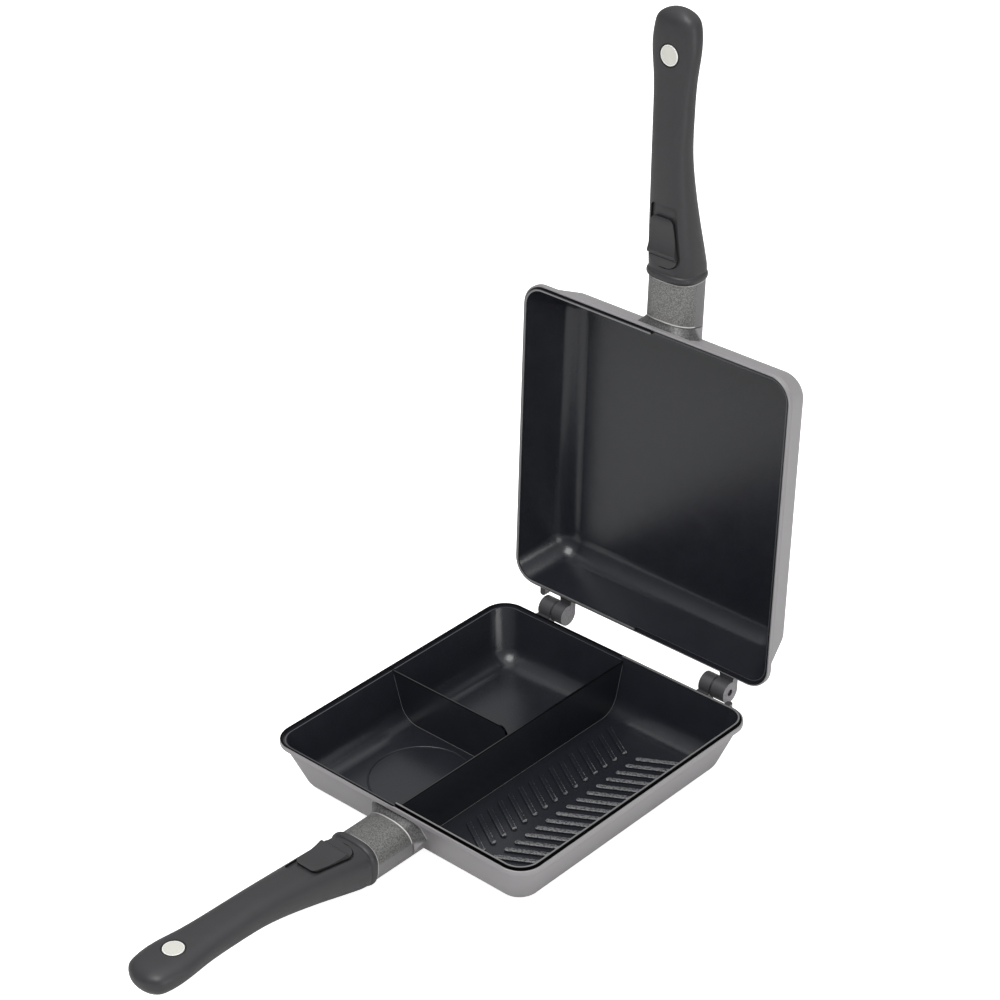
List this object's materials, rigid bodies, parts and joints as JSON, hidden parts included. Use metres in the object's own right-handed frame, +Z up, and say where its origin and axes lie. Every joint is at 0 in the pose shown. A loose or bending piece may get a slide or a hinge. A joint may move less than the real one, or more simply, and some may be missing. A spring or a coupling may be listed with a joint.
{
  "type": "double sided flip pan",
  "caption": "Two square cast frying pans hinged at the back, shown open, each with a straight handle; one pan is divided into a plain tray, an egg-ring tray and a grill tray.",
  "frame": {"origin": "middle of the lower pan's base, on the surface it rests on", "axes": "+X to the right seen from the handle, +Y from the handle to the hinges, +Z up"},
  "size_m": [0.21, 0.4779, 0.4642],
  "materials": {
    "pan": "satin",
    "ferrule": "satin",
    "grip": "matte",
    "slider": "matte",
    "steel": "satin",
    "magnet": "satin",
    "cup": "satin"
  },
  "bodies": {
    "lower": {"lower_pan": "pan", "hinge_pin_left": "steel", "hinge_pin_right": "steel", "lower_ferrule": "ferrule", "lower_grip": "grip", "lower_tongue_guide": "steel", "lower_latch_spring": "steel", "lower_magnet": "magnet", "lower_magnet_cup": "cup", "lower_fixing_screw": "steel"},
    "lower_slide": {"lower_slider": "slider"},
    "lower_catch": {"lower_latch": "steel"},
    "upper": {"upper_pan": "pan", "upper_ferrule": "ferrule", "upper_grip": "grip", "upper_tongue_guide": "steel", "upper_latch_spring": "steel", "upper_magnet": "magnet", "upper_magnet_cup": "cup", "upper_fixing_screw": "steel"},
    "upper_slide": {"upper_slider": "slider"},
    "upper_catch": {"upper_latch": "steel"}
  },
  "joints": [
    {"name": "lid_hinge", "type": "hinge", "parent": "lower", "child": "upper", "pos_m": [0, 0.1187, 0.0375], "axis": [1, 0, 0], "range_deg": [0, 93]},
    {"name": "lower_slider_slide", "type": "slide", "parent": "lower", "child": "lower_slide", "axis": [0, -0.9962, 0.0871], "range_m": [0, 0.006], "stiffness_N_per_m": 400, "springref_m": -0.002},
    {"name": "lower_latch_lift", "type": "slide", "parent": "lower", "child": "lower_catch", "axis": [0, 0, 1], "range_m": [0, 0.0024]},
    {"name": "upper_slider_slide", "type": "slide", "parent": "upper", "child": "upper_slide", "axis": [0, -0.0348, 0.9994], "range_m": [0, 0.006], "stiffness_N_per_m": 400, "springref_m": -0.002},
    {"name": "upper_latch_lift", "type": "slide", "parent": "upper", "child": "upper_catch", "axis": [0, -0.9986, 0.0523], "range_m": [0, 0.0024]}
  ],
  "couplings": [
    {"joint": "lower_latch_lift", "follows": "lower_slider_slide", "ratio": 0.4},
    {"joint": "upper_latch_lift", "follows": "upper_slider_slide", "ratio": 0.4}
  ]
}
